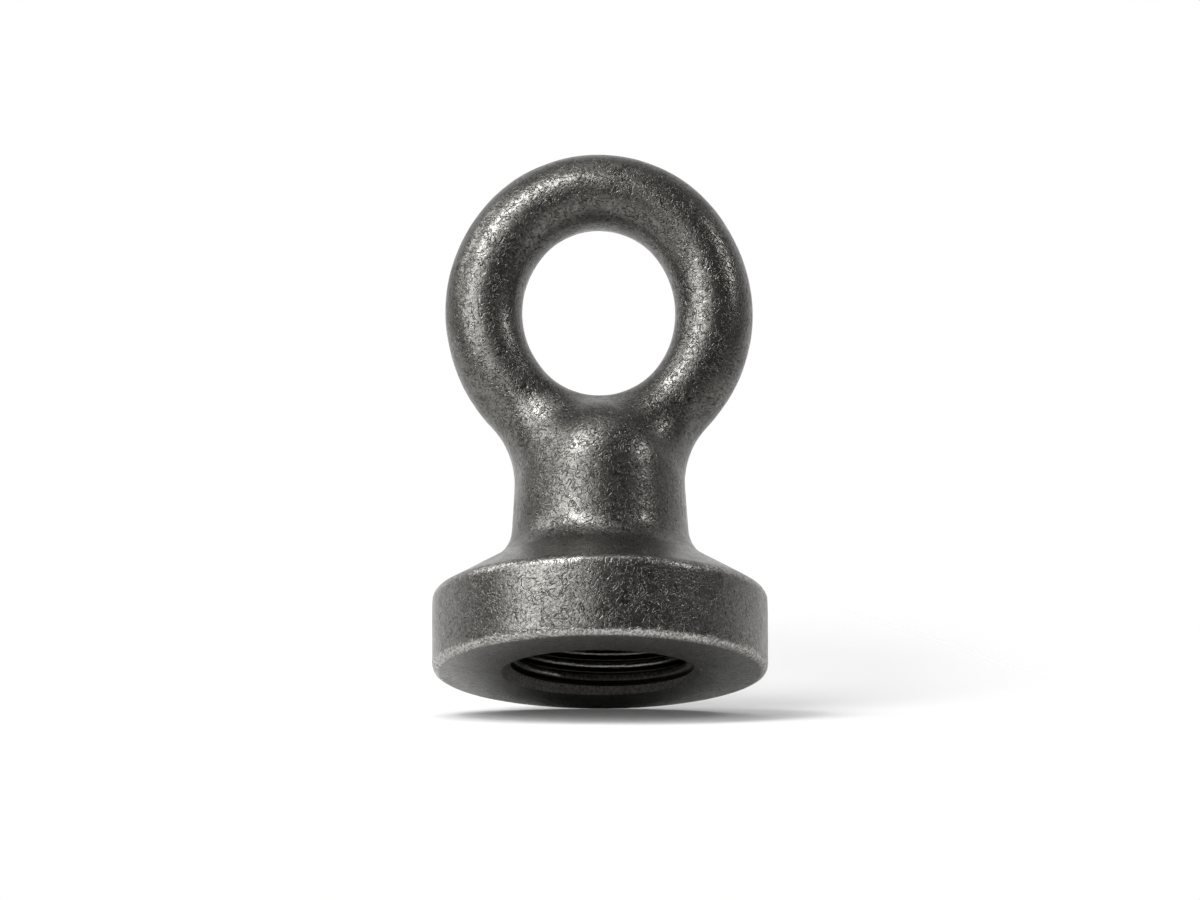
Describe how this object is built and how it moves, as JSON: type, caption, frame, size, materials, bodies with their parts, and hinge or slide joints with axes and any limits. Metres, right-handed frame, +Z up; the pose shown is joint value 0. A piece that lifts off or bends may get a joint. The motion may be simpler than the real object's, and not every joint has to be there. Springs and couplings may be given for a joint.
{
  "type": "lifting eye nut",
  "caption": "Forged lifting eye nut: an oval ring of round bar on a short neck and a thick round collar with a blind threaded hole in its flat seat.",
  "frame": {"origin": "centre of the flat seat face, on the thread axis", "axes": "+Z up along the thread axis, from the seat face to the eye; +X across the ring, from side to side; +Y along the eye's axis, through the ring"},
  "size_m": [0.0536, 0.0536, 0.0856],
  "materials": {
    "forged_steel": "dark forged steel with a satin, finely wrinkled scale"
  },
  "bodies": {
    "root": {"eye_nut": "forged_steel"}
  },
  "joints": []
}
